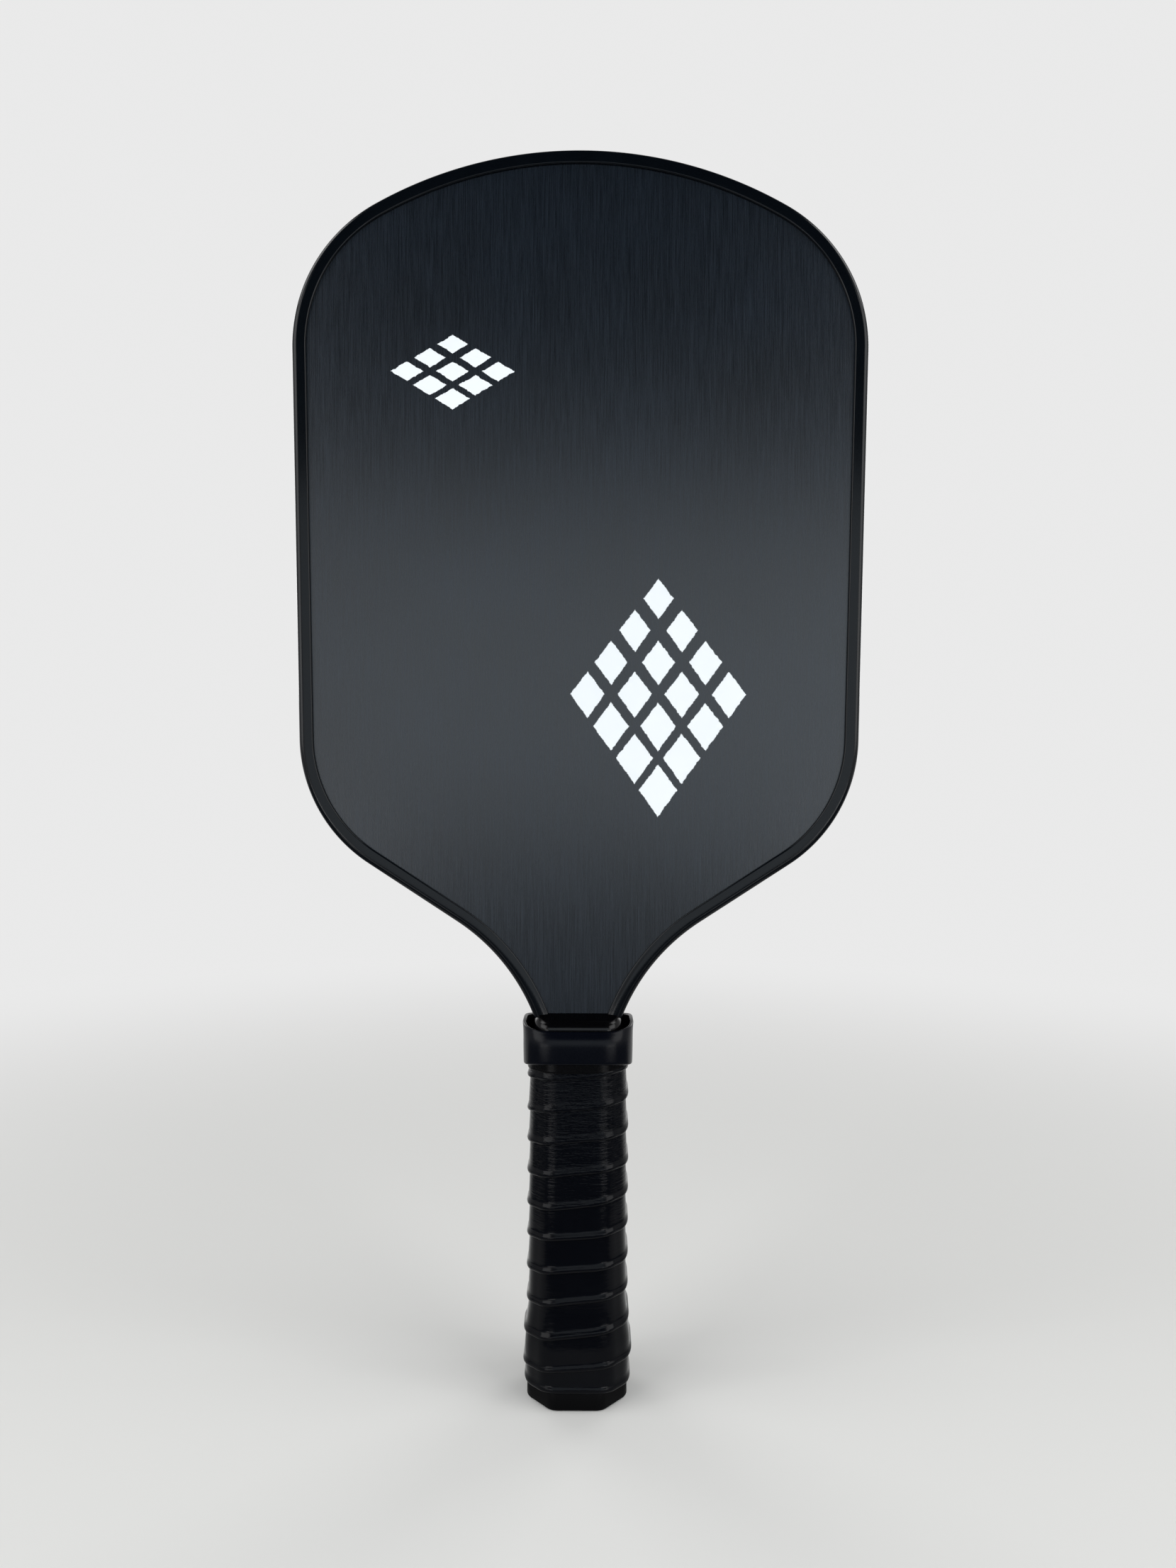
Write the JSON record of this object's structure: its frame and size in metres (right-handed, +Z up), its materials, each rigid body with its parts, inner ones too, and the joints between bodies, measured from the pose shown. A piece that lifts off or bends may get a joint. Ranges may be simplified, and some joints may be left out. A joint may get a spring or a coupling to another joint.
{
  "type": "pickleball paddle",
  "caption": "Elongated pickleball paddle: honeycomb panel between face sheets, moulded edge guard, octagonal handle with butt cap, wrapped overgrip and rubber collar.",
  "frame": {"origin": "centre of the butt cap's end face", "axes": "+Z up the paddle from the butt to the crown, +X across the head, the front face looks to -Y"},
  "size_m": [0.19, 0.0336, 0.411],
  "materials": {
    "core_polypropylene": "extruded, translucent",
    "fleece": "non-woven",
    "face_laminate": "brushed, satin",
    "bonding_tape": "adhesive film",
    "guard_plastic": "moulded, semi-gloss",
    "pallet_plastic": "moulded, gloss",
    "cap_plastic": "moulded, satin",
    "staple_steel": "drawn wire",
    "cushion_foam": "foamed, matte",
    "overgrip_film": "smooth, tacky",
    "band_film": "film, gloss",
    "collar_rubber": "moulded, semi-gloss"
  },
  "bodies": {
    "root": {"honeycomb_core": "core_polypropylene", "front_fleece_film": "fleece", "rear_fleece_film": "fleece", "front_face_sheet": "face_laminate", "rear_face_sheet": "face_laminate", "guard_bonding_tape": "bonding_tape", "edge_guard": "guard_plastic", "front_pallet": "pallet_plastic", "rear_pallet": "pallet_plastic", "butt_cap": "cap_plastic", "front_cap_staple": "staple_steel", "rear_cap_staple": "staple_steel", "cushion_grip": "cushion_foam", "overgrip": "overgrip_film", "finishing_band": "band_film", "collar": "collar_rubber"}
  },
  "joints": []
}
